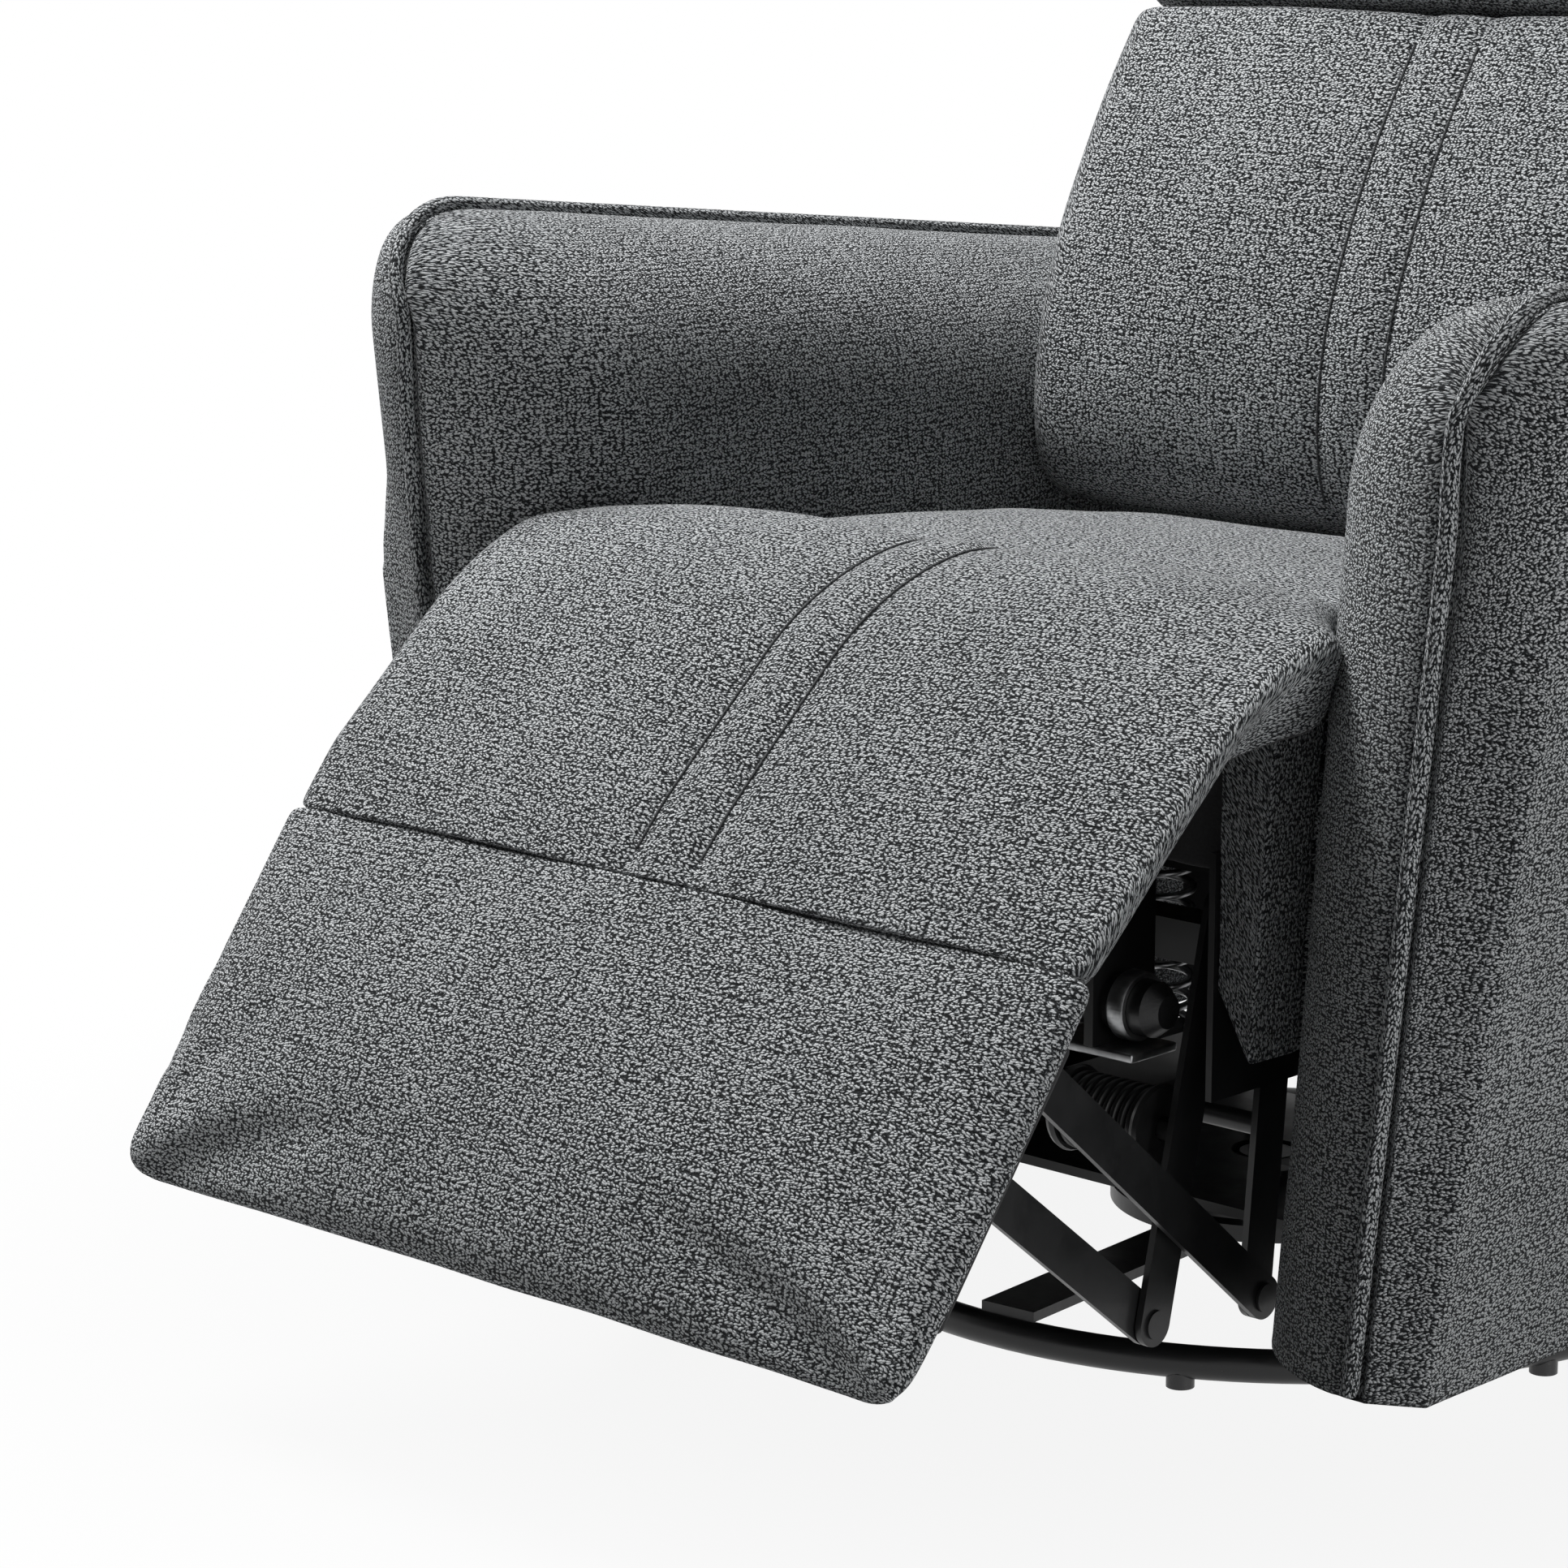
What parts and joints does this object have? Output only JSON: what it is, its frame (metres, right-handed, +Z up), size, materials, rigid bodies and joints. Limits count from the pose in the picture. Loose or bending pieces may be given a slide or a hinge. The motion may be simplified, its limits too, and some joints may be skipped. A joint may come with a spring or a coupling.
{
  "type": "swivel rocker recliner",
  "caption": "Upholstered recliner chair on a round swivel base, with a sprung rocker, padded arms, a tilting back and a linkage footrest that folds out.",
  "frame": {"origin": "on the floor, under the swivel axis", "axes": "+Z up along the swivel axis, -Y to the front of the chair, +X to the arm on the right of the picture as seen from the front"},
  "size_m": [0.8806, 1.0205, 1.0072],
  "materials": {
    "heather_fabric": "woven, matte",
    "frame_wood": "sawn",
    "black_steel": "gloss",
    "bright_steel": "satin",
    "black_plastic": "satin"
  },
  "bodies": {
    "base": {"base_ring": "black_steel", "base_feet": "black_plastic", "base_cross": "black_steel", "lower_race": "black_steel", "bearing_balls": "bright_steel", "swivel_bolt": "bright_steel"},
    "swivel": {"upper_race": "black_steel", "rocker_base": "black_steel", "race_bolts": "bright_steel", "rocker_brackets": "black_steel", "rocker_springs": "bright_steel"},
    "seat": {"rocker_yoke_right": "black_steel", "rocker_yoke_left": "black_steel", "rocker_pins": "black_steel", "cross_beam_front": "black_steel", "cross_beam_rear": "black_steel", "side_plate_right": "black_steel", "side_plate_left": "black_steel", "side_plate_bolts": "black_steel", "side_rail_right": "frame_wood", "side_rail_left": "frame_wood", "front_rail": "frame_wood", "rear_rail": "frame_wood", "seat_springs": "bright_steel", "front_tube": "black_steel", "tube_caps": "black_plastic", "tube_hangers": "black_steel", "link_pivot_pins": "black_steel", "seat_cushion": "heather_fabric", "edge_foam": "heather_fabric", "arm_right": "heather_fabric", "arm_left": "heather_fabric", "back_hinge_plates": "black_steel", "back_hinge_pins": "bright_steel", "rear_panel": "heather_fabric"},
    "rear_links": {"rear_link_right": "black_steel", "rear_link_left": "black_steel", "sync_rod": "black_steel", "rear_knee_pins": "black_steel"},
    "front_links": {"front_link_right": "black_steel", "front_link_left": "black_steel", "tie_rod": "black_steel", "front_knee_pins": "black_steel"},
    "rear_bars": {"rear_bar_right": "black_steel", "rear_bar_left": "black_steel"},
    "front_bars": {"front_bar_right": "black_steel", "front_bar_left": "black_steel"},
    "footrest": {"footrest_board": "frame_wood", "footrest_bracket_right": "black_steel", "footrest_bracket_left": "black_steel", "footrest_pins": "black_steel", "footrest_pad": "heather_fabric"},
    "leg_flap": {"leg_pad": "heather_fabric"},
    "back": {"back_straps": "black_steel", "back_frame": "frame_wood", "back_shell": "heather_fabric", "back_cushion": "heather_fabric", "headrest_pillow": "heather_fabric"},
    "release": {"release_lever": "black_plastic", "release_shaft": "bright_steel"}
  },
  "joints": [
    {"name": "swivel", "type": "hinge", "parent": "base", "child": "swivel", "pos_m": [0, 0, 0.05], "axis": [0, 0, 1], "continuous": true},
    {"name": "rock", "type": "hinge", "parent": "swivel", "child": "seat", "pos_m": [0, 0, 0.12], "axis": [-1, 0, 0], "range_deg": [-7, 7], "stiffness_Nm_per_rad": 900, "deforming": ["rocker_springs"]},
    {"name": "recline", "type": "hinge", "parent": "seat", "child": "back", "pos_m": [0, 0.14, 0.335], "axis": [-1, 0, 0], "range_deg": [0, 38]},
    {"name": "footrest_drive", "type": "hinge", "parent": "seat", "child": "rear_links", "pos_m": [0, -0.26252, 0.24907], "axis": [-1, 0, 0], "range_deg": [-37.5, 50]},
    {"name": "rear_knee", "type": "hinge", "parent": "rear_links", "child": "rear_bars", "pos_m": [0, -0.278, 0.08], "axis": [-1, 0, 0], "range_deg": [-50, 37.5]},
    {"name": "footrest_pivot", "type": "hinge", "parent": "rear_bars", "child": "footrest", "pos_m": [0, -0.46748, 0.24093], "axis": [-1, 0, 0], "range_deg": [-37.5, 50]},
    {"name": "front_drive", "type": "hinge", "parent": "seat", "child": "front_links", "pos_m": [0, -0.30766, 0.29617], "axis": [-1, 0, 0], "range_deg": [-37.5, 50]},
    {"name": "front_knee", "type": "hinge", "parent": "front_links", "child": "front_bars", "pos_m": [0, -0.358, 0.082], "axis": [-1, 0, 0], "range_deg": [-50, 37.5]},
    {"name": "leg_pad_bend", "type": "hinge", "parent": "seat", "child": "leg_flap", "pos_m": [0, -0.452, 0.41], "axis": [-1, 0, 0], "range_deg": [-37.5, 50], "deforming": ["leg_pad"]},
    {"name": "release_pull", "type": "hinge", "parent": "seat", "child": "release", "pos_m": [0, -0.12, 0.3], "axis": [-1, 0, 0], "range_deg": [0, 35], "stiffness_Nm_per_rad": 1.5}
  ],
  "couplings": [
    {"joint": "rear_knee", "follows": "footrest_drive", "ratio": -1},
    {"joint": "footrest_pivot", "follows": "footrest_drive", "ratio": 1},
    {"joint": "front_drive", "follows": "footrest_drive", "ratio": 1},
    {"joint": "front_knee", "follows": "footrest_drive", "ratio": -1},
    {"joint": "leg_pad_bend", "follows": "footrest_drive", "ratio": 1}
  ]
}
